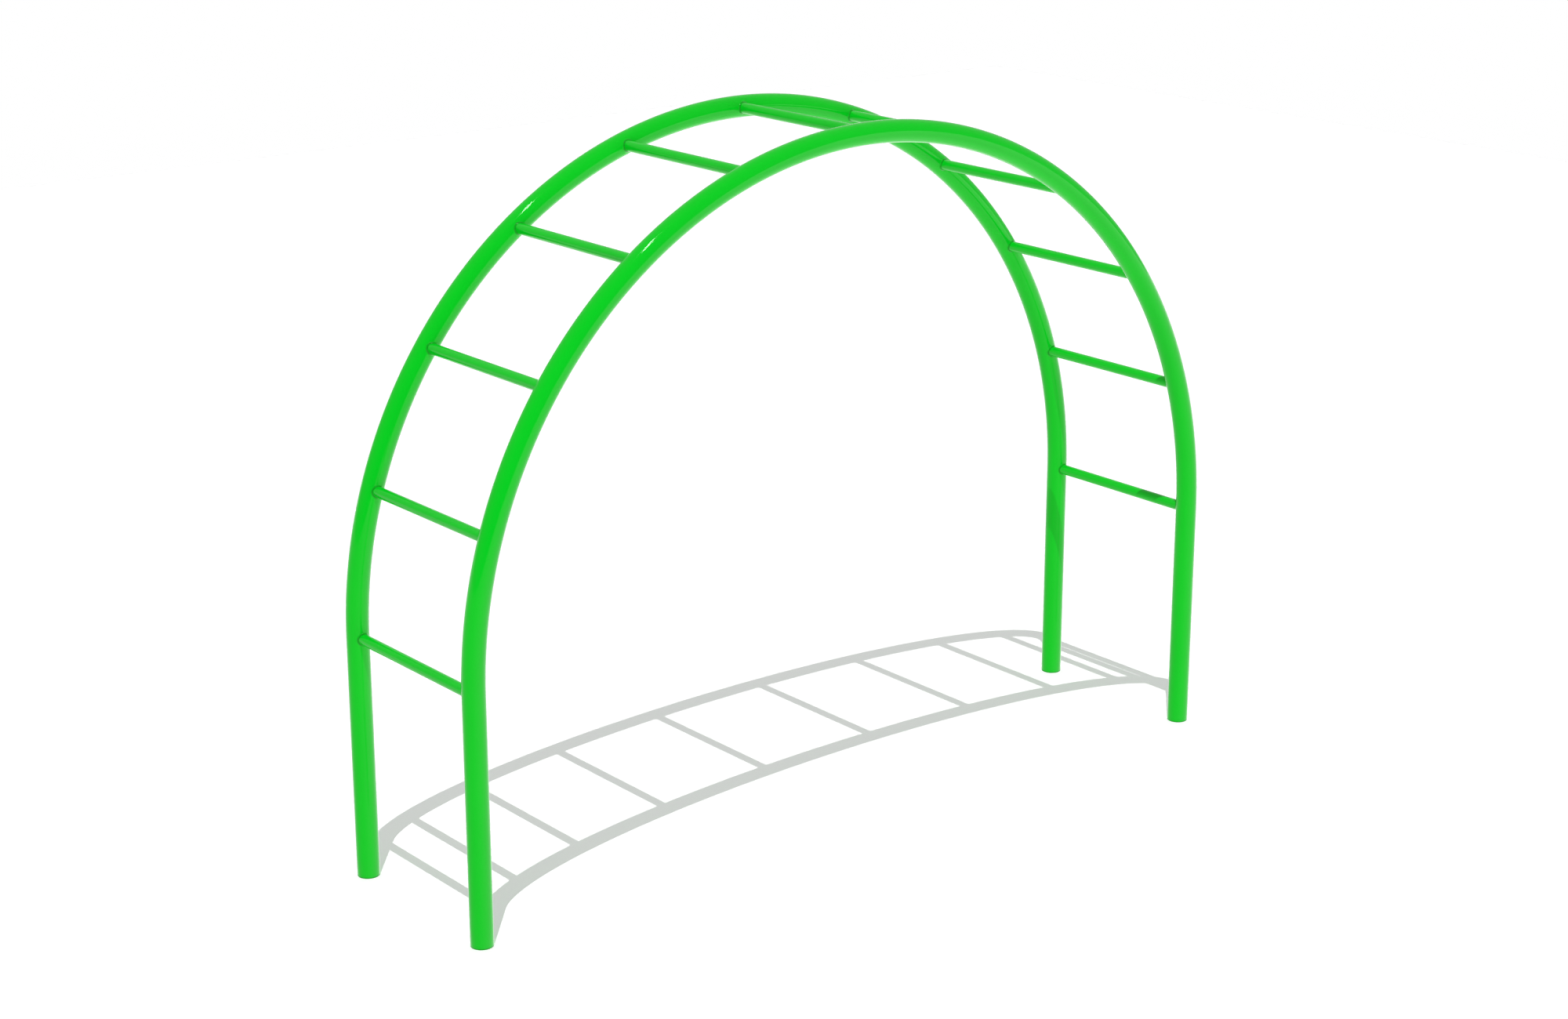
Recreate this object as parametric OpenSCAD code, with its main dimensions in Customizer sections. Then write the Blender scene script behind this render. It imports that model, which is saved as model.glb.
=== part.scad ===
// Arched ladder climber for a playground: two bent tube rails, joined by welded rungs.
// +X runs along the span, +Y runs across it from the front rail to the back rail, and +Z is up.
// The origin is on the ground, in the middle of the four feet. All sizes are in millimetres.

/* [Arch] */
// Radius of the arch, from its centre to the middle of the rail tube
bend_r = 1250; // [1000:10:1500]
// Height of the arch's centre above the feet
spring_h = 670; // [450:10:900]
// Distance between the two rails, from the middle of one tube to the middle of the other
rail_gap = 550; // [400:10:800]

/* [Tubes] */
// Outside diameter of a rail tube
rail_od = 60.3; // [48.3:0.1:76.1]
// Wall thickness of a rail tube
rail_wall = 2.9; // [2:0.1:4]
// Outside diameter of a rung tube
rung_od = 30; // [24:0.5:34]
// Wall thickness of a rung tube
rung_wall = 2.6; // [1.5:0.1:3.2]

/* [Rungs] */
// Number of rungs, an odd number so that one stands at the crown
rung_count = 11; // [7:2:13]

/* [Welds] */
// Leg length of the fillet weld round each end of a rung
weld_leg = 3.5; // [3:0.5:5]
// How far the face of the weld stands out of a flat fillet, as a share of its leg length
weld_crown = 0.12; // [0:0.02:0.2]

/* [Feet] */
// Thickness of the steel disc that closes the foot of each leg
disc_t = 5; // [3:0.5:8]
// Diameter of the drain hole in that disc
drain_d = 10; // [6:1:14]

/* [Vents] */
// Diameter of the hole in the rail's wall behind each end of a rung, which lets the rung drain into the rail
vent_d = 10; // [6:1:12]

/* [Hidden] */
$fn = 96;
bend_fn = 192;

function two_digits(i) = str(i < 10 ? "0" : "", i);
function rung_name(i) = str("rung_", two_digits(i));
function weld_name(i) = str("rung_", two_digits(i), "_welds");

RAIL_NAMES = ["front_rail", "back_rail"];
RAIL_SIDES = [-1, 1];
FOOT_NAMES = ["front_left_foot_disc", "front_right_foot_disc", "back_left_foot_disc", "back_right_foot_disc"];
FOOT_SIDES = [[-1, -1], [1, -1], [-1, 1], [1, 1]];
RUNGS = [1 : rung_count];

paint = [0.13, 0.80, 0.18];
overshoot = 5;

rail_r = rail_od / 2;
rail_bore_r = rail_r - rail_wall;
rung_r = rung_od / 2;
rung_bore_r = rung_r - rung_wall;
rail_y = rail_gap / 2;
drain_x = 0.55 * rail_bore_r;

// Rungs are spread evenly over the half circle, and the first and last lie at the arch's centre height.
function rung_angle(i) = -90 + 180 * (i - 1) / (rung_count - 1);

// A solid bar of radius r along the middle line of a rail, in the XZ plane.
// Its ends reach below the feet by the distance past_foot.
module rail_bar(r, past_foot = 0) {
    translate([0, 0, spring_h])
        rotate([90, 0, 0])
            rotate_extrude(angle = 180, $fn = bend_fn)
                translate([bend_r, 0])
                    circle(r);
    for (side = [-1, 1])
        translate([side * bend_r, 0, -past_foot])
            cylinder(r = r, h = spring_h + past_foot);
}

// Puts what is drawn at the crown of an arch centred on the origin at rung i.
module at_rung(i) {
    translate([0, 0, spring_h])
        rotate([0, rung_angle(i), 0])
            children();
}

// One rail: a single tube, bent to a half circle with two straight legs, and vented into each rung.
module rail(side) {
    color(paint)
        translate([0, side * rail_y, 0])
            difference() {
                rail_bar(rail_r);
                rail_bar(rail_bore_r, overshoot);
                for (i = RUNGS)
                    at_rung(i)
                        translate([0, 0, bend_r])
                            rotate([side * 90, 0, 0])
                                cylinder(d = vent_d, h = rail_r + overshoot);
            }
}

// One rung: a straight tube, its ends coped to the outside of both rails.
module rung(i) {
    color(paint)
        difference() {
            at_rung(i)
                translate([0, 0, bend_r])
                    rotate([90, 0, 0])
                        difference() {
                            cylinder(r = rung_r, h = rail_gap, center = true);
                            cylinder(r = rung_bore_r, h = rail_gap + overshoot, center = true);
                        }
            for (side = RAIL_SIDES)
                translate([0, side * rail_y, 0])
                    rail_bar(rail_r);
        }
}

// Distance of the rail's surface from the rail's mid plane, seen along a rung at the crown:
// across is measured along the rail and out is measured away from the arch's centre.
function rail_surface(across, out) =
    sqrt(pow(rail_r, 2) - pow(norm([bend_r + out, across]) - bend_r, 2));

// One fillet weld, where the rung at the crown of an arch centred on the origin meets the front rail.
// Each section is a triangle with a raised face, and its root follows the saddle-shaped joint.
module weld_bead() {
    steps = 32;
    root_r = rung_r / cos(180 / steps);
    rise = weld_leg * (0.5 + weld_crown);
    section = [
        [0, 0],
        [weld_leg / 2, 0],
        [weld_leg, 0],
        [rise, rise],
        [0, weld_leg]
    ];
    count = len(section);
    function ring(a) = [
        for (p = section)
            let (
                across = (root_r + p[0]) * cos(a),
                out = (root_r + p[0]) * sin(a)
            )
            [across, rail_surface(across, out) + p[1] - rail_y, bend_r + out]
    ];
    points = [for (s = [0 : steps - 1]) each ring(360 * s / steps)];
    faces = [
        for (s = [0 : steps - 1], k = [0 : count - 1])
            let (
                a = s * count + k,
                b = s * count + (k + 1) % count,
                c = ((s + 1) % steps) * count + (k + 1) % count,
                d = ((s + 1) % steps) * count + k
            )
            each [[a, b, c], [a, c, d]]
    ];
    polyhedron(points = points, faces = faces);
}

// The two welds of rung i, one on each rail.
module rung_welds(i) {
    color(paint)
        at_rung(i)
            for (side = [0, 1])
                mirror([0, side, 0])
                    weld_bead();
}

// The disc welded into the foot of a leg, flush with its end. Its drain hole is off centre, on the outside.
module foot_disc(side) {
    color(paint)
        translate([side[0] * bend_r, side[1] * rail_y, 0])
            difference() {
                cylinder(r = rail_bore_r, h = disc_t);
                translate([side[0] * drain_x, 0, -overshoot])
                    cylinder(d = drain_d, h = disc_t + 2 * overshoot);
            }
}

for (n = [0 : 1])
    rail(RAIL_SIDES[n]);
for (i = RUNGS)
    rung(i);
for (i = RUNGS)
    rung_welds(i);
for (n = [0 : 3])
    foot_disc(FOOT_SIDES[n]);
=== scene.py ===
"""Arch climber for a playground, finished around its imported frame.

The frame gives every size and place. This file models the tubes, the weld beads and the foot discs as they
look after coating, gives them a gloss powder coat, and stands them in a pale studio.
"""

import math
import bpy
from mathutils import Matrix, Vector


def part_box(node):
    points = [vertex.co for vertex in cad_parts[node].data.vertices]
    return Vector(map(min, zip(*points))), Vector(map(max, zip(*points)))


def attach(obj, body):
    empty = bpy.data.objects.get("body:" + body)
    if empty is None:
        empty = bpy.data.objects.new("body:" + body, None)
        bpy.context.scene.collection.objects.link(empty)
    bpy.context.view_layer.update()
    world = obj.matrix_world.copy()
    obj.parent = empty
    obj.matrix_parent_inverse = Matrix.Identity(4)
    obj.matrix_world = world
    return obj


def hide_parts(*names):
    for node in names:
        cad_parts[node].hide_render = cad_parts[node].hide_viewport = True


bl_info = {
    "name": "Arch Climber",
    "version": (1, 0, 0),
    "blender": (4, 5, 0),
    "location": "3D View > Sidebar > Climber",
    "description": "Models a powder coated arch climber with welded rungs",
    "category": "Add Mesh",
}

import bpy
from bpy.props import FloatProperty, FloatVectorProperty, PointerProperty
from bpy.types import Operator, Panel, PropertyGroup
from mathutils import Matrix, Vector

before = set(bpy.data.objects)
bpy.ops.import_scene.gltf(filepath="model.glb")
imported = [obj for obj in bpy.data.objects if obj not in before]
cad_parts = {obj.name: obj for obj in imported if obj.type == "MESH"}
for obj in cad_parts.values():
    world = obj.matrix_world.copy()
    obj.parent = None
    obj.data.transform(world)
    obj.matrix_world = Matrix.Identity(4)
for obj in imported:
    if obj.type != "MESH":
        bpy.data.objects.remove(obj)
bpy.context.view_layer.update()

BODY = "root"
RUNG_NODES = sorted(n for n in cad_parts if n.startswith("rung_") and not n.endswith("_welds"))
CROWN_RUNG = RUNG_NODES[len(RUNG_NODES) // 2]

# Sizes read from the frame, in metres.
RAIL_LOW, RAIL_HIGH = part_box("front_rail")
DISC_LOW, DISC_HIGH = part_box("front_left_foot_disc")
RUNG_LOW, RUNG_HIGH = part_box(CROWN_RUNG)
WELD_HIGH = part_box(CROWN_RUNG + "_welds")[1]
LEG_CENTRE = (DISC_LOW + DISC_HIGH) / 2
BEND_RADIUS = -LEG_CENTRE.x
RAIL_RADIUS = LEG_CENTRE.y - RAIL_LOW.y
LEG_HEIGHT = RAIL_HIGH.z - RAIL_HIGH.x
WELD_LEG = WELD_HIGH.x - RUNG_HIGH.x

# How finely each shape is divided.
RAIL_SIDES = 72
BEND_STEPS = 240
LEG_STEPS = 12
RUNG_SIDES = 48
RUNG_STEPS = 12
BEAD_STEPS = 252
BEAD_SIDES = 16
BEAD_FACE_POINTS = 12
HOLE_SIDES = 32
EDGE_SEGMENTS = 3

MILLIMETRE = 0.001

# An edge that turns further than the first angle is shaded crisp, and one that turns further than the second
# is rounded.
CRISP_ANGLE = math.radians(40)
ROUNDED_ANGLE = math.radians(60)

# How far a vent's drill reaches from the middle of the rail, in rail radii, and how far a drain hole lies off
# centre, as a share of the bore's radius.
DRILL_REACH = 1.2
DRAIN_OFFSET = 0.55

# Waves in a weld's leg length round the rung: the height of each as a share of the leg length, how many there
# are, and how far they shift with the place where the weld starts.
BEAD_WAVES = ((0.04, 2, 1.0), (0.025, 5, 2.3))

# A weld is a little fuller where it starts and ends: by what share of the leg length, and over what angle.
TIE_IN_SHARE = 0.10
TIE_IN_ANGLE = 0.12

# How far a ripple's two ends lie from its middle, in ripples, and how far the fused back of a weld reaches
# along each tube, as a share of the leg length.
CRESCENT = 0.6
BACK_REACH = 0.9

# The angle where the weld on the first rung starts, and how much further round each next one starts.
FRONT_STARTS = (1.3, 0.9)
BACK_STARTS = (2.1, 1.7)

# The coat's patterns: the width of each in metres, the part of its noise that shows, and how long a scuff is
# along each axis.
DRIFT_SIZE, DRIFT_RANGE = 0.35, (0.35, 0.7)
SCUFF_SIZE, SCUFF_RANGE, SCUFF_STRETCH = 0.02, (0.62, 0.75), (1, 6, 1)
MOTTLE_SIZE = 0.012

# The fine mottle's share in the coat's tone and in its relief.
MOTTLE_SHARE = 0.25

# The heights in metres between which the painted shade at the ground fades out.
GROUND_LINE = (0.001, 0.005)

# How much painted shade darkens the coat at the ground, towards the rung on a weld, and between two ripples.
GROUND_SHADE, CREASE_SHADE, VALLEY_SHADE = 0.8, 0.85, 0.2

# What the mottle, a scuff, a weld and the valley between two ripples each add to the coat's roughness.
MOTTLE_ROUGH, SCUFF_ROUGH, WELD_ROUGH, VALLEY_ROUGH = 0.03, 0.05, 0.08, 0.06

# Half the height of the soft step at the surround's horizon, where straight up is 1.
HORIZON_BLUR = 0.01


class ClimberSizes(PropertyGroup):
    rail_diameter: FloatProperty(
        name="Rail diameter", description="Outside diameter of a rail tube",
        default=2 * RAIL_RADIUS, unit="LENGTH")
    rail_wall: FloatProperty(
        name="Rail wall", description="Wall thickness of a rail tube",
        default=RAIL_RADIUS - (DISC_HIGH.x - DISC_LOW.x) / 2, unit="LENGTH")
    bend_radius: FloatProperty(
        name="Bend radius", description="Radius of the arch at the middle of the rail tube",
        default=BEND_RADIUS, unit="LENGTH")
    leg_height: FloatProperty(
        name="Leg height", description="Length of the straight leg below the bend",
        default=LEG_HEIGHT, unit="LENGTH")
    rail_spacing: FloatProperty(
        name="Rail spacing", description="Distance between the middles of the two rails",
        default=-2 * LEG_CENTRE.y, unit="LENGTH")
    rung_diameter: FloatProperty(
        name="Rung diameter", description="Outside diameter of a rung tube",
        default=RUNG_HIGH.x - RUNG_LOW.x, unit="LENGTH")
    rung_wall: FloatProperty(
        name="Rung wall", description="Wall thickness of a rung tube",
        default=2.6 * MILLIMETRE, unit="LENGTH")
    vent_diameter: FloatProperty(
        name="Vent hole", description="Hole in the rail behind each end of a rung",
        default=10 * MILLIMETRE, unit="LENGTH")
    drain_diameter: FloatProperty(
        name="Drain hole", description="Hole in each foot disc",
        default=10 * MILLIMETRE, unit="LENGTH")
    disc_thickness: FloatProperty(
        name="Foot disc", description="Thickness of the disc in the foot of a leg",
        default=DISC_HIGH.z - DISC_LOW.z, unit="LENGTH")
    edge_round: FloatProperty(
        name="Edge round", description="How far the coat rounds a cut edge",
        default=0.8 * MILLIMETRE, unit="LENGTH")


class ClimberWelds(PropertyGroup):
    leg: FloatProperty(
        name="Leg length", description="Size of the weld along each of the two tubes",
        default=WELD_LEG, unit="LENGTH")
    crown: FloatProperty(
        name="Crown", description="How far the face stands out, as a share of the leg length",
        default=0.07, min=0, max=1, subtype="FACTOR")
    bite: FloatProperty(
        name="Bite", description="How deep the weld is fused into both tubes",
        default=0.8 * MILLIMETRE, unit="LENGTH")
    ripple_pitch: FloatProperty(
        name="Ripple pitch", description="Distance from one ripple to the next",
        default=2.2 * MILLIMETRE, unit="LENGTH")
    ripple_depth: FloatProperty(
        name="Ripple depth", description="Depth of the valley between two ripples",
        default=0.2 * MILLIMETRE, unit="LENGTH")


class ClimberCoat(PropertyGroup):
    colour: FloatVectorProperty(
        name="Colour", description="Colour of the powder coat",
        default=(0.0027, 0.590, 0.0160), min=0, max=1, subtype="COLOR")
    thin_colour: FloatVectorProperty(
        name="Thin colour", description="Colour where the coat lies a little thinner",
        default=(0.0024, 0.566, 0.0150), min=0, max=1, subtype="COLOR")
    # Painted shade: this colour darkens the coat towards the rung on each weld, in the valleys between its
    # ripples, and in a thin band at the ground.
    painted_shade_colour: FloatVectorProperty(
        name="Crease colour", description="Colour where dirt lies on the coat, at a weld and at the ground",
        default=(0.0012, 0.200, 0.0060), min=0, max=1, subtype="COLOR")
    roughness: FloatProperty(
        name="Roughness", description="Roughness of the cured gloss surface",
        default=0.05, min=0, max=1, subtype="FACTOR")
    refraction: FloatProperty(
        name="Refraction", description="Index of refraction of the coat", default=1.45, min=1)
    specular: FloatProperty(
        name="Specular", description="How strongly the coat reflects, where 0.5 is what its refraction gives",
        default=0.37, min=0, max=1, subtype="FACTOR")
    peel_size: FloatProperty(
        name="Orange peel size", description="Width of the soft dimples in the cured coat",
        default=3 * MILLIMETRE, unit="LENGTH")
    peel_depth: FloatProperty(
        name="Orange peel depth", description="Depth of those dimples",
        default=0.02 * MILLIMETRE, unit="LENGTH")


class ClimberStudio(PropertyGroup):
    azimuth: FloatProperty(
        name="Azimuth", description="How far the camera stands round from the front",
        default=math.radians(-38.73), subtype="ANGLE")
    elevation: FloatProperty(
        name="Elevation", description="How far the camera looks down",
        default=math.radians(17.11), subtype="ANGLE")
    distance: FloatProperty(
        name="Distance", description="From the camera to the point it looks at, in bend radii",
        default=6.348)
    aim_height: FloatProperty(
        name="Aim height", description="Height of that point, in bend radii",
        default=0.6714)
    aim_aside: FloatProperty(
        name="Aim aside", description="How far that point lies to the camera's right, in bend radii",
        default=-0.0357)
    lens: FloatProperty(
        name="Lens", description="Focal length of the camera", default=66.04, unit="CAMERA")
    key_height: FloatProperty(
        name="Key height", description="Height of the key light, in bend radii", default=63.2)
    key_slope: FloatVectorProperty(
        name="Key slope", description="How far that light stands back along X and Y for each metre of height",
        default=(0.2254, 0.2440), size=2)
    key_power: FloatProperty(
        name="Key power", description="Light that reaches the climber from it, in watts per square metre",
        default=1.8)
    key_size: FloatProperty(
        name="Key size", description="Radius of the key light", default=0.15, unit="LENGTH")
    strip_spread: FloatVectorProperty(
        name="Strip spread", description="Angles that the highlight's strip of light fills along X and Y",
        default=(math.radians(2.4), math.radians(15)), size=2, unit="ROTATION")
    strip_brightness: FloatProperty(
        name="Strip brightness", description="Radiance of that strip", default=26)
    front_power: FloatProperty(
        name="Front power", description="Strength of the broad light from the camera's side", default=1.5)
    front_azimuth: FloatProperty(
        name="Front azimuth", description="How far that light stands round from the front",
        default=math.radians(-44), subtype="ANGLE")
    front_rise: FloatProperty(
        name="Front rise", description="How far that light climbs for each metre that it travels",
        default=0.12)
    front_spread: FloatProperty(
        name="Front spread", description="Angle that this light fills, seen from the climber",
        default=math.radians(90), subtype="ANGLE")
    top_power: FloatProperty(
        name="Top power", description="Strength of the soft light from overhead", default=0.2)
    top_spread: FloatProperty(
        name="Top spread", description="Angle that this light fills, seen from the climber",
        default=math.radians(180), subtype="ANGLE")
    ground_glow: FloatProperty(
        name="Ground glow", description="Brightness of the surround below the horizon", default=1.0)
    ground_lean: FloatVectorProperty(
        name="Ground lean", description="How much brighter that is towards X and towards Y",
        default=(0.6, 0.2), size=2)
    sky_glow: FloatProperty(
        name="Sky glow", description="Brightness of the surround above the horizon", default=0.30)
    sky_lean: FloatVectorProperty(
        name="Sky lean", description="How much brighter that is towards X and towards Y",
        default=(0.17, 0.25), size=2)
    floor_width: FloatProperty(
        name="Floor width", description="Width of the studio floor, in bend radii", default=16)
    dome_radius: FloatProperty(
        name="Dome radius", description="Radius of the white dome round it, in bend radii", default=72)
    floor_colour: FloatVectorProperty(
        name="Floor colour", description="Colour of the studio floor",
        default=(0.9, 0.9, 0.9), min=0, max=1, subtype="COLOR")
    floor_glow: FloatProperty(
        name="Floor glow", description="Light that comes through the floor, which keeps shadows pale",
        default=0.27)


# ---------------------------------------------------------------------------------------------
# Modelling helpers
# ---------------------------------------------------------------------------------------------

def deselect_all():
    """Leaves nothing selected."""
    bpy.ops.object.select_all(action="DESELECT")


def work_on(piece):
    """Makes a piece the only one selected, and the active one."""
    deselect_all()
    piece.select_set(True)
    bpy.context.view_layer.objects.active = piece


def new_piece(name):
    """Names the primitive that was just added, and puts its place into its mesh."""
    piece = bpy.context.object
    piece.name = piece.data.name = name
    bpy.ops.object.transform_apply(location=True, rotation=True, scale=True)
    return piece


def edit(piece):
    """Opens a piece in edit mode with all of it selected."""
    work_on(piece)
    bpy.ops.object.mode_set(mode="EDIT")
    bpy.ops.mesh.select_all(action="SELECT")


def close_edit():
    """Goes back to object mode."""
    bpy.ops.object.mode_set(mode="OBJECT")


def face_outwards(piece):
    """Turns every face of a piece to the outside."""
    edit(piece)
    bpy.ops.mesh.normals_make_consistent(inside=False)
    close_edit()


def extrude(offset, steps):
    """Extrudes what is selected by offset, in equal steps."""
    for _ in range(steps):
        bpy.ops.mesh.extrude_region_move(TRANSFORM_OT_translate={"value": Vector(offset) / steps})


def apply_modifier(piece, kind, **settings):
    """Shapes a piece with one modifier."""
    work_on(piece)
    modifier = piece.modifiers.new(kind.title(), kind)
    for setting, value in settings.items():
        setattr(modifier, setting, value)
    bpy.ops.object.modifier_apply(modifier=modifier.name)


def stand_on_ground(piece):
    """Lifts the points that rounding has left a hair below the ground."""
    for vertex in piece.data.vertices:
        vertex.co.z = max(vertex.co.z, 0)


def thicken(piece, wall):
    """Gives a thin skin its wall, inwards."""
    apply_modifier(piece, "SOLIDIFY", thickness=wall, offset=-1, use_rim=True)


def round_edges(piece, width):
    """Rounds the cut edges of a piece."""
    apply_modifier(piece, "BEVEL", width=width, segments=EDGE_SEGMENTS, limit_method="ANGLE",
                   angle_limit=ROUNDED_ANGLE)


def cut_away(piece, cutter):
    """Cuts one piece out of another and removes the cutter."""
    apply_modifier(piece, "BOOLEAN", object=cutter, operation="DIFFERENCE", solver="EXACT")
    bpy.data.objects.remove(cutter)


def smooth(piece):
    """Shades a piece smooth, apart from its crisp edges."""
    work_on(piece)
    bpy.ops.object.shade_smooth_by_angle(angle=CRISP_ANGLE)


def copied(piece, name, matrix):
    """A copy of a piece with its own mesh, moved by a matrix."""
    twin = piece.copy()
    twin.data = piece.data.copy()
    twin.name = twin.data.name = name
    twin.data.transform(matrix)
    bpy.context.scene.collection.objects.link(twin)
    return twin


def joined(pieces, name):
    """Makes one piece of several."""
    deselect_all()
    for piece in pieces:
        piece.select_set(True)
    bpy.context.view_layer.objects.active = pieces[0]
    bpy.ops.object.join()
    pieces[0].name = pieces[0].data.name = name
    return pieces[0]


def hand_over(piece, node, material):
    """Coats a finished piece and lets it stand for its node of the frame."""
    piece.data.materials.clear()
    piece.data.materials.append(material)
    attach(piece, BODY)
    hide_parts(node)


# ---------------------------------------------------------------------------------------------
# The shape of the arch
# ---------------------------------------------------------------------------------------------

def rung_angle(index):
    """Angle of a rung from the crown, the first one on the left leg."""
    return math.pi * (index / (len(RUNG_NODES) - 1) - 0.5)


def round_the_arch(sizes, angle):
    """Carries a shape from the crown to another place on the arch."""
    centre = Vector((0, 0, sizes.leg_height))
    return Matrix.Translation(centre) @ Matrix.Rotation(angle, 4, "Y") @ Matrix.Translation(-centre)


def rail_surface(sizes, across, out):
    """Distance of a rail's surface from its mid plane, for a point near the crown: across is measured
    along the rail and out is measured away from the arch's centre."""
    from_middle = math.hypot(sizes.bend_radius + out, across) - sizes.bend_radius
    return math.sqrt((sizes.rail_diameter / 2) ** 2 - from_middle ** 2)


def model_rail(sizes, name):
    """The front rail: a leg drawn up from a ring, spun over the arch and drawn down again."""
    rail_y = -sizes.rail_spacing / 2
    bpy.ops.mesh.primitive_circle_add(
        vertices=RAIL_SIDES, radius=sizes.rail_diameter / 2, location=(-sizes.bend_radius, rail_y, 0))
    rail = new_piece(name)
    edit(rail)
    extrude((0, 0, sizes.leg_height), LEG_STEPS)
    bpy.ops.mesh.spin(
        steps=BEND_STEPS, angle=math.pi, center=(0, rail_y, sizes.leg_height), axis=(0, -1, 0))
    extrude((0, 0, -sizes.leg_height), LEG_STEPS)
    close_edit()
    stand_on_ground(rail)
    face_outwards(rail)
    thicken(rail, sizes.rail_wall)
    round_edges(rail, sizes.edge_round)
    cut_away(rail, model_vent_cutter(sizes))
    smooth(rail)
    return rail


def model_vent_cutter(sizes):
    """One drill for each vent hole, from the middle of the front rail through its inner wall."""
    reach = DRILL_REACH * sizes.rail_diameter / 2
    deselect_all()
    bpy.ops.mesh.primitive_cylinder_add(
        vertices=HOLE_SIDES, radius=sizes.vent_diameter / 2, depth=reach,
        location=(0, (reach - sizes.rail_spacing) / 2, sizes.leg_height + sizes.bend_radius),
        rotation=(math.pi / 2, 0, 0))
    drill = new_piece("drill")
    drills = [
        copied(drill, "drill", round_the_arch(sizes, rung_angle(index))) for index in range(len(RUNG_NODES))
    ]
    bpy.data.objects.remove(drill)
    return joined(drills, "drills")


def model_rung(sizes, name):
    """The crown rung, its ends coped to the rails."""
    half = sizes.rail_spacing / 2
    crown_z = sizes.leg_height + sizes.bend_radius
    deselect_all()
    bpy.ops.mesh.primitive_circle_add(
        vertices=RUNG_SIDES, radius=sizes.rung_diameter / 2, location=(0, -half, crown_z),
        rotation=(math.pi / 2, 0, 0))
    rung = new_piece(name)
    edit(rung)
    extrude((0, 2 * half, 0), RUNG_STEPS)
    close_edit()
    for vertex in rung.data.vertices:
        if abs(vertex.co.y) > half - MILLIMETRE:
            cope = half - rail_surface(sizes, vertex.co.x, vertex.co.z - crown_z)
            vertex.co.y = math.copysign(cope, vertex.co.y)
    face_outwards(rung)
    thicken(rung, sizes.rung_wall)
    smooth(rung)
    return rung


def bead_section(welds, ripples, step, side, start):
    """A point of a weld's section, how deep it lies between two ripples, and how near it is to the rung.
    The point is given by its distance from the rung and its height above the rail."""
    turn = math.tau * step / BEAD_STEPS
    waves = sum(height * math.sin(count * turn + shift * start) for height, count, shift in BEAD_WAVES)
    past_start = math.remainder(turn - start, math.tau)
    tie_in = TIE_IN_SHARE * math.exp(-(past_start / TIE_IN_ANGLE) ** 2)
    leg = welds.leg * (1 + waves + tie_in)
    if side >= BEAD_FACE_POINTS:
        back = [
            (-welds.bite, BACK_REACH * leg, 0, 1), (-welds.bite, -welds.bite, 0, 1),
            (leg / 2, -welds.bite, 0, 0), (BACK_REACH * leg, -welds.bite, 0, 0),
        ]
        return back[side - BEAD_FACE_POINTS]
    share = side / (BEAD_FACE_POINTS - 1)
    bulge = welds.crown * leg * 4 * share * (1 - share)
    trail = CRESCENT * (2 * share - 1) ** 2
    crest = abs(math.sin(math.pi * (ripples * past_start / math.tau + trail)))
    valley = (1 - crest) * math.sqrt(math.sin(math.pi * share))
    lift = bulge - valley * welds.ripple_depth / math.sqrt(2)
    return leg * (1 - share) + lift, leg * share + lift, valley, share


def model_bead(sizes, welds, name, start):
    """A fillet weld round the front end of the crown rung, which starts and ends at one angle."""
    rung_radius = sizes.rung_diameter / 2
    crown_z = sizes.leg_height + sizes.bend_radius
    ring_radius = rung_radius + welds.leg / 2
    ripples = round(math.tau * ring_radius / welds.ripple_pitch)
    deselect_all()
    bpy.ops.mesh.primitive_torus_add(
        major_segments=BEAD_STEPS, minor_segments=BEAD_SIDES, major_radius=ring_radius,
        minor_radius=welds.leg / 2)
    bead = new_piece(name)
    # Both numbers feed the coat: valley adds roughness and painted shade between ripples, and crease adds
    # painted shade towards the rung.
    bead.data.attributes.new("valley", "FLOAT", "POINT")
    bead.data.attributes.new("crease", "FLOAT", "POINT")
    for vertex in bead.data.vertices:
        turn = math.atan2(vertex.co.y, vertex.co.x)
        roll = math.atan2(vertex.co.z, math.hypot(vertex.co.x, vertex.co.y) - ring_radius)
        step = round(turn / math.tau * BEAD_STEPS) % BEAD_STEPS
        side = round(roll / math.tau * BEAD_SIDES) % BEAD_SIDES
        from_rung, height, valley, crease = bead_section(welds, ripples, step, side, start)
        across = (rung_radius + from_rung) * math.cos(turn)
        out = (rung_radius + from_rung) * math.sin(turn)
        y = rail_surface(sizes, across, out) + height - sizes.rail_spacing / 2
        vertex.co = (across, y, crown_z + out)
        bead.data.attributes["valley"].data[vertex.index].value = valley
        bead.data.attributes["crease"].data[vertex.index].value = crease
    face_outwards(bead)
    smooth(bead)
    return bead


def model_foot_disc(sizes, name, side_x, side_y):
    """The disc in the foot of a leg, with its drain hole on the outer side."""
    bore = sizes.rail_diameter / 2 - sizes.rail_wall
    centre = Vector((side_x * sizes.bend_radius, side_y * sizes.rail_spacing / 2, 0))
    deselect_all()
    bpy.ops.mesh.primitive_circle_add(
        vertices=RAIL_SIDES, radius=bore, fill_type="NGON", location=centre)
    disc = new_piece(name)
    edit(disc)
    extrude((0, 0, sizes.disc_thickness), 1)
    close_edit()
    face_outwards(disc)
    deselect_all()
    bpy.ops.mesh.primitive_cylinder_add(
        vertices=HOLE_SIDES, radius=sizes.drain_diameter / 2, depth=4 * sizes.disc_thickness,
        location=centre + Vector((side_x * DRAIN_OFFSET * bore, 0, 0)))
    cut_away(disc, new_piece("drain"))
    round_edges(disc, sizes.edge_round)
    smooth(disc)
    return disc


# ---------------------------------------------------------------------------------------------
# Finishes
# ---------------------------------------------------------------------------------------------

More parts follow.
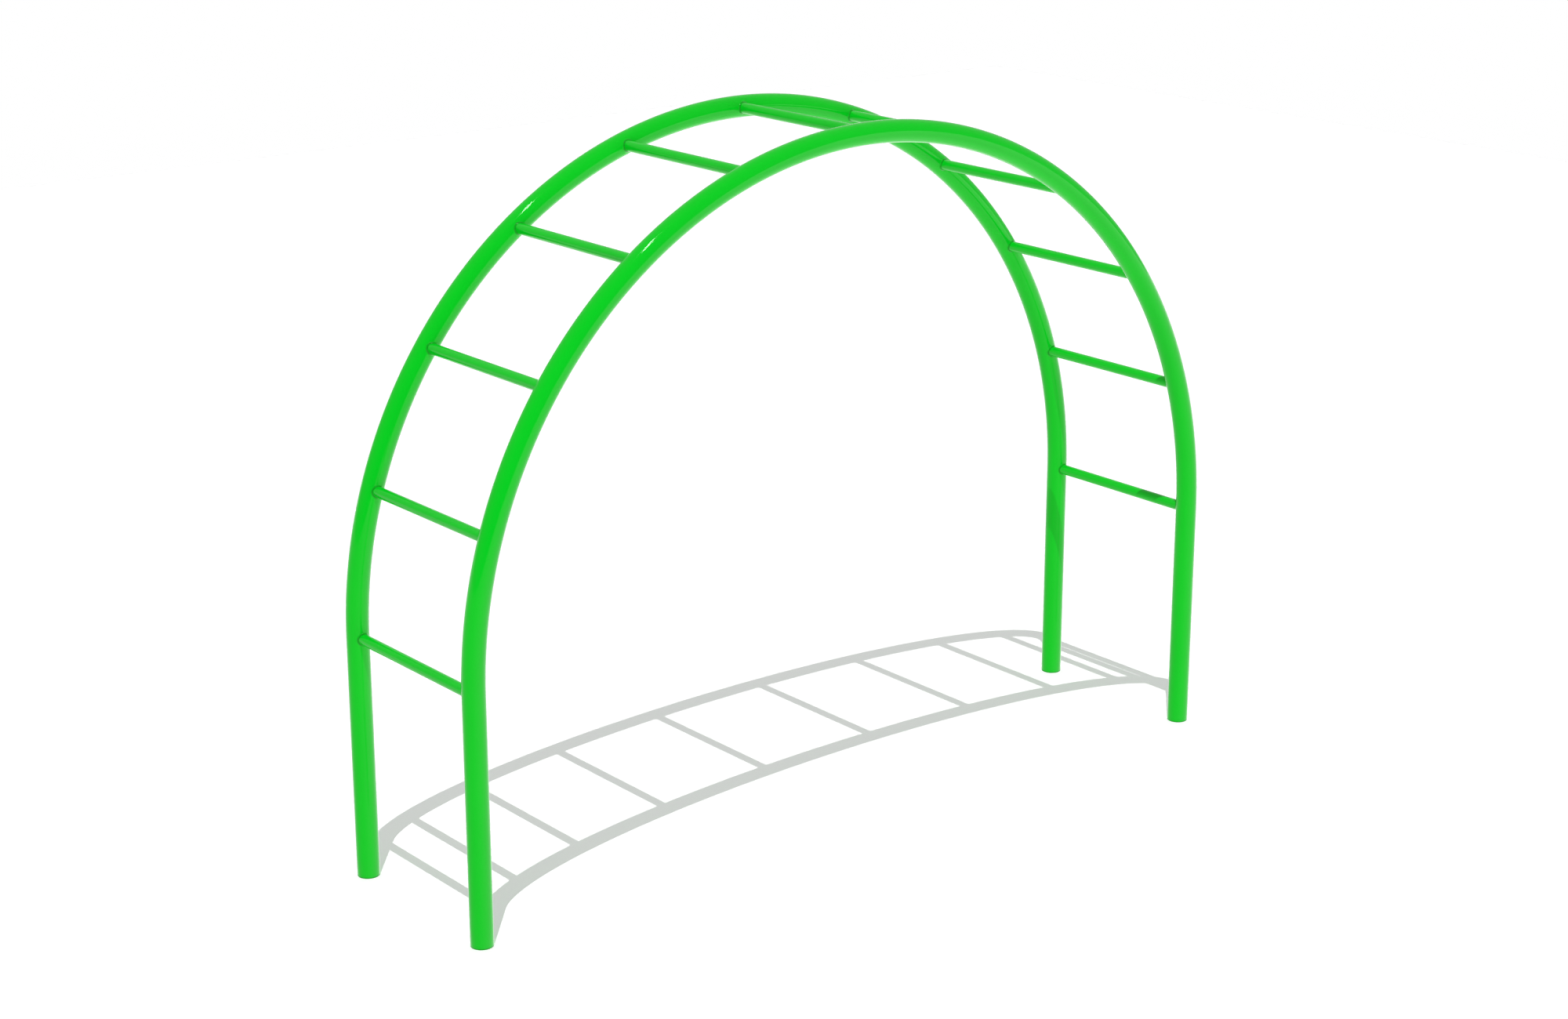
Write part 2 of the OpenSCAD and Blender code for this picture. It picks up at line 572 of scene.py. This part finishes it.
class Signal:
    """A number that varies over a surface. Python's operators add the Math nodes for it."""

    def __init__(self, graph, socket):
        self.graph = graph
        self.socket = socket

    def combined(self, operation, first, second):
        node = self.graph.node("ShaderNodeMath", {"operation": operation}, {0: first, 1: second})
        return Signal(self.graph, node.outputs[0])

    def __add__(self, other):
        return self.combined("ADD", self, other)

    def __radd__(self, other):
        return self.combined("ADD", other, self)

    def __sub__(self, other):
        return self.combined("SUBTRACT", self, other)

    def __rsub__(self, other):
        return self.combined("SUBTRACT", other, self)

    def __mul__(self, other):
        return self.combined("MULTIPLY", self, other)

    def __rmul__(self, other):
        return self.combined("MULTIPLY", other, self)

    def between(self, low, high):
        """0 below low, 1 above high, and a soft step between them."""
        node = self.graph.node(
            "ShaderNodeMapRange", {"interpolation_type": "SMOOTHSTEP"},
            {"Value": self, "From Min": low, "From Max": high})
        return Signal(self.graph, node.outputs[0])


class Graph:
    """The node tree of a material or of the world."""

    def __init__(self, owner):
        owner.use_nodes = True
        self.tree = owner.node_tree
        self.tree.nodes.clear()

    def node(self, kind, settings=None, sockets=None):
        """Adds a node, sets it up, and feeds its sockets with values or with other sockets."""
        node = self.tree.nodes.new(kind)
        for setting, value in (settings or {}).items():
            setattr(node, setting, value)
        for name, value in (sockets or {}).items():
            value = value.socket if isinstance(value, Signal) else value
            if isinstance(value, bpy.types.NodeSocket):
                self.tree.links.new(value, node.inputs[name])
            else:
                node.inputs[name].default_value = value
        return node

    def noise(self, place, size, detail, stretch=(1, 1, 1)):
        """Soft random patches about size metres across, longer along an axis whose stretch is larger."""
        mapping = self.node(
            "ShaderNodeMapping", {"vector_type": "TEXTURE"}, {"Vector": place, "Scale": stretch})
        noise = self.node(
            "ShaderNodeTexNoise", {}, {"Vector": mapping.outputs[0], "Scale": 1 / size, "Detail": detail})
        return Signal(self, noise.outputs["Fac"])

    def attribute(self, name):
        """A number that was stored with the points of a piece."""
        return Signal(self, self.node("ShaderNodeAttribute", {"attribute_name": name}).outputs["Fac"])

    def blend(self, share, first, second):
        """A colour that goes from first to second as share goes from 0 to 1."""
        mix = self.node("ShaderNodeMix", {"data_type": "RGBA"}, {0: share, 6: first, 7: second})
        return mix.outputs[2]


def powder_coat(coat, name, on_weld=False):
    """Gloss polyester powder coat: a soft orange peel, slight drift in tone and gloss, faint scuffs, and
    painted shade at the ground and on the welds.
    """
    material = bpy.data.materials.new(name)
    graph = Graph(material)
    place = graph.node("ShaderNodeTexCoord").outputs["Object"]
    drift = graph.noise(place, DRIFT_SIZE, 3).between(*DRIFT_RANGE)
    scuffs = graph.noise(place, SCUFF_SIZE, 3, SCUFF_STRETCH).between(*SCUFF_RANGE)
    mottle = graph.noise(place, MOTTLE_SIZE, 2)
    peel = graph.noise(place, coat.peel_size, 1)
    thin = (1 - MOTTLE_SHARE) * drift + MOTTLE_SHARE * mottle
    height = Signal(graph, graph.node("ShaderNodeSeparateXYZ", {}, {0: place}).outputs["Z"])
    # Painted shade in a thin band where each leg meets the ground.
    ground_shade = 1 - height.between(*GROUND_LINE)
    painted_shade = (*coat.painted_shade_colour, 1)
    clean = graph.blend(thin, (*coat.colour, 1), (*coat.thin_colour, 1))
    colour = graph.blend(GROUND_SHADE * ground_shade, clean, painted_shade)
    roughness = coat.roughness + MOTTLE_ROUGH * mottle + SCUFF_ROUGH * scuffs
    if on_weld:
        # Painted shade on a weld: darker towards the rung, where it meets the weld, and in the valleys
        # between ripples.
        valley, crease = graph.attribute("valley"), graph.attribute("crease")
        colour = graph.blend(CREASE_SHADE * crease + VALLEY_SHADE * valley, colour, painted_shade)
        roughness = roughness + WELD_ROUGH + VALLEY_ROUGH * valley
    bump = graph.node("ShaderNodeBump", {}, {
        "Strength": 1.0,
        "Distance": coat.peel_depth,
        "Height": peel + MOTTLE_SHARE * mottle,
    })
    shader = graph.node("ShaderNodeBsdfPrincipled", {}, {
        "Base Color": colour,
        "Roughness": roughness,
        "IOR": coat.refraction,
        "Specular IOR Level": coat.specular,
        "Normal": bump.outputs[0],
    })
    graph.node("ShaderNodeOutputMaterial", {}, {"Surface": shader.outputs[0]})
    return material


def plain_floor(studio):
    """A matt white sheet with a little light behind it."""
    material = bpy.data.materials.new("studio_floor")
    graph = Graph(material)
    colour = (*studio.floor_colour, 1)
    shader = graph.node("ShaderNodeBsdfPrincipled", {}, {
        "Base Color": colour,
        "Roughness": 0.9,
        "Specular IOR Level": 0.1,
        "Emission Color": colour,
        "Emission Strength": studio.floor_glow,
    })
    graph.node("ShaderNodeOutputMaterial", {}, {"Surface": shader.outputs[0]})
    return material


def white_backdrop():
    """A plain white glow."""
    material = bpy.data.materials.new("studio_dome")
    graph = Graph(material)
    glow = graph.node("ShaderNodeEmission", {}, {"Color": (1, 1, 1, 1), "Strength": 1.0})
    graph.node("ShaderNodeOutputMaterial", {}, {"Surface": glow.outputs[0]})
    return material


def coat_material(name, on_weld=False):
    """The coat by name, made the first time that it is asked for."""
    made = bpy.data.materials.get(name)
    return made or powder_coat(bpy.context.scene.climber_coat, name, on_weld)


# ---------------------------------------------------------------------------------------------
# Operators
# ---------------------------------------------------------------------------------------------

class CLIMBER_OT_rails(Operator):
    """Models both rails and coats them"""
    bl_idname = "climber.rails"
    bl_label = "Rails"

    def execute(self, context):
        front = model_rail(context.scene.climber_sizes, "front_rail_tube")
        back = copied(front, "back_rail_tube", Matrix.Rotation(math.pi, 4, "Z"))
        hand_over(front, "front_rail", coat_material("gloss_coat"))
        hand_over(back, "back_rail", coat_material("gloss_coat"))
        return {"FINISHED"}


class CLIMBER_OT_rungs(Operator):
    """Models the crown rung and copies it round the arch"""
    bl_idname = "climber.rungs"
    bl_label = "Rungs"

    def execute(self, context):
        sizes = context.scene.climber_sizes
        crown_rung = model_rung(sizes, "crown_rung")
        for index, node in enumerate(RUNG_NODES):
            rung = copied(crown_rung, node + "_tube", round_the_arch(sizes, rung_angle(index)))
            hand_over(rung, node, coat_material("gloss_coat"))
        bpy.data.objects.remove(crown_rung)
        return {"FINISHED"}


class CLIMBER_OT_welds(Operator):
    """Lays a rippled weld bead round both ends of every rung"""
    bl_idname = "climber.welds"
    bl_label = "Weld beads"

    def execute(self, context):
        sizes = context.scene.climber_sizes
        welds = context.scene.climber_welds
        half_turn = Matrix.Rotation(math.pi, 4, "Z")
        for index, node in enumerate(RUNG_NODES):
            front_start, back_start = (first + more * index for first, more in (FRONT_STARTS, BACK_STARTS))
            front = model_bead(sizes, welds, "front_bead", front_start)
            back = model_bead(sizes, welds, "back_bead", back_start)
            back.data.transform(half_turn)
            beads = joined([front, back], node + "_weld_beads")
            beads.data.transform(round_the_arch(sizes, rung_angle(index)))
            hand_over(beads, node + "_welds", coat_material("gloss_coat_on_weld", on_weld=True))
        return {"FINISHED"}


class CLIMBER_OT_foot_discs(Operator):
    """Models the disc that closes each leg"""
    bl_idname = "climber.foot_discs"
    bl_label = "Foot discs"

    def execute(self, context):
        sizes = context.scene.climber_sizes
        for depth, side_y in (("front", -1), ("back", 1)):
            for hand, side_x in (("left", -1), ("right", 1)):
                node = f"{depth}_{hand}_foot_disc"
                disc = model_foot_disc(sizes, node + "_plate", side_x, side_y)
                hand_over(disc, node, coat_material("gloss_coat"))
        return {"FINISHED"}


class CLIMBER_OT_studio(Operator):
    """Sets up the camera, the floor and the lights"""
    bl_idname = "climber.studio"
    bl_label = "Studio"

    def add_camera(self, studio, radius):
        right = Vector((math.cos(studio.azimuth), math.sin(studio.azimuth), 0))
        level = math.cos(studio.elevation)
        back = Vector((
            math.sin(studio.azimuth) * level, -math.cos(studio.azimuth) * level, math.sin(studio.elevation)
        ))
        aim = Vector((0, 0, studio.aim_height)) + right * studio.aim_aside
        bpy.ops.object.camera_add(
            location=radius * (aim + back * studio.distance),
            rotation=(math.pi / 2 - studio.elevation, 0, studio.azimuth))
        camera = bpy.context.object
        camera.data.lens = studio.lens
        bpy.context.scene.camera = camera

    def add_key(self, studio, place):
        """A small lamp far off, which casts crisp shadows and leaves no highlight."""
        bpy.ops.object.light_add(type="POINT", radius=studio.key_size, location=place)
        key = bpy.context.object
        key.name = "key"
        key.data.energy = 4 * math.pi * place.length_squared * studio.key_power
        key.visible_camera = key.visible_glossy = False

    def add_strip(self, studio, place):
        """A strip of light in the key's place, which is seen only as a highlight in the gloss."""
        lean_x = math.atan(studio.key_slope[0])
        lean_y = math.atan(studio.key_slope[1] * math.cos(lean_x))
        bpy.ops.object.light_add(type="AREA", location=place, rotation=(lean_y, -lean_x, 0))
        strip = bpy.context.object
        strip.name = "highlight_strip"
        strip.data.shape = "RECTANGLE"
        size_x, size_y = (2 * place.length * math.tan(angle / 2) for angle in studio.strip_spread)
        strip.data.size, strip.data.size_y = size_x, size_y
        strip.data.energy = math.pi * size_x * size_y * studio.strip_brightness
        strip.visible_camera = strip.visible_diffuse = False

    def add_fill(self, name, direction, power, spread):
        """A broad light that travels along direction and leaves no highlight."""
        bpy.ops.object.light_add(type="SUN", rotation=Vector(direction).to_track_quat("-Z", "Y").to_euler())
        fill = bpy.context.object
        fill.name = name
        fill.data.energy = power
        fill.data.angle = spread
        fill.visible_glossy = False

    def add_world(self, studio):
        """A bright surround below the horizon and a dim one above it, each brighter towards one side."""
        world = bpy.data.worlds.new("studio_surround")
        bpy.context.scene.world = world
        graph = Graph(world)
        direction = graph.node("ShaderNodeTexCoord").outputs["Generated"]
        split = graph.node("ShaderNodeSeparateXYZ", {}, {0: direction})
        x, y, z = (Signal(graph, output) for output in split.outputs)
        ground = studio.ground_glow + studio.ground_lean[0] * x + studio.ground_lean[1] * y
        sky = studio.sky_glow + studio.sky_lean[0] * x + studio.sky_lean[1] * y
        strength = ground + (sky - ground) * z.between(-HORIZON_BLUR, HORIZON_BLUR)
        surround = graph.node("ShaderNodeBackground", {}, {"Color": (1, 1, 1, 1), "Strength": strength})
        graph.node("ShaderNodeOutputWorld", {}, {"Surface": surround.outputs[0]})

    def add_backdrop(self, studio, radius):
        """A floor that takes shadows and a white dome beyond it. Neither of them lights the climber."""
        bpy.ops.mesh.primitive_plane_add(size=radius * studio.floor_width)
        floor = new_piece("studio_floor")
        floor.data.materials.append(plain_floor(studio))
        bpy.ops.mesh.primitive_uv_sphere_add(segments=64, ring_count=32, radius=radius * studio.dome_radius)
        dome = new_piece("studio_dome")
        dome.data.materials.append(white_backdrop())
        for piece in (floor, dome):
            piece.visible_diffuse = piece.visible_glossy = piece.visible_shadow = False

    def execute(self, context):
        studio = context.scene.climber_studio
        radius = context.scene.climber_sizes.bend_radius
        self.add_camera(studio, radius)
        self.add_world(studio)
        self.add_backdrop(studio, radius)
        place = radius * studio.key_height * Vector((-studio.key_slope[0], -studio.key_slope[1], 1))
        self.add_key(studio, place)
        self.add_strip(studio, place)
        self.add_fill("top", (0, 0, -1), studio.top_power, studio.top_spread)
        away = (-math.sin(studio.front_azimuth), math.cos(studio.front_azimuth), studio.front_rise)
        self.add_fill("front", away, studio.front_power, studio.front_spread)
        context.scene.view_settings.view_transform = "Standard"
        return {"FINISHED"}


class CLIMBER_PT_panel(Panel):
    """Lists the climber's operators and settings"""
    bl_label = "Arch Climber"
    bl_idname = "CLIMBER_PT_panel"
    bl_space_type = "VIEW_3D"
    bl_region_type = "UI"
    bl_category = "Climber"

    def draw(self, context):
        for operator in OPERATORS:
            self.layout.operator(operator.bl_idname)
        for group in GROUPS:
            settings = getattr(context.scene, group)
            box = self.layout.box()
            for setting in settings.__annotations__:
                box.prop(settings, setting)


OPERATORS = (
    CLIMBER_OT_rails,
    CLIMBER_OT_rungs,
    CLIMBER_OT_welds,
    CLIMBER_OT_foot_discs,
    CLIMBER_OT_studio,
)
GROUPS = {
    "climber_sizes": ClimberSizes,
    "climber_welds": ClimberWelds,
    "climber_coat": ClimberCoat,
    "climber_studio": ClimberStudio,
}


def register():
    for kind in (*GROUPS.values(), *OPERATORS, CLIMBER_PT_panel):
        bpy.utils.register_class(kind)
    for name, group in GROUPS.items():
        setattr(bpy.types.Scene, name, PointerProperty(type=group))


def unregister():
    for name in GROUPS:
        delattr(bpy.types.Scene, name)
    for kind in reversed((*GROUPS.values(), *OPERATORS, CLIMBER_PT_panel)):
        bpy.utils.unregister_class(kind)


def main():
    register()
    deselect_all()
    bpy.ops.climber.rails()
    bpy.ops.climber.rungs()
    bpy.ops.climber.welds()
    bpy.ops.climber.foot_discs()
    bpy.ops.climber.studio()


if __name__ == "__main__":
    main()
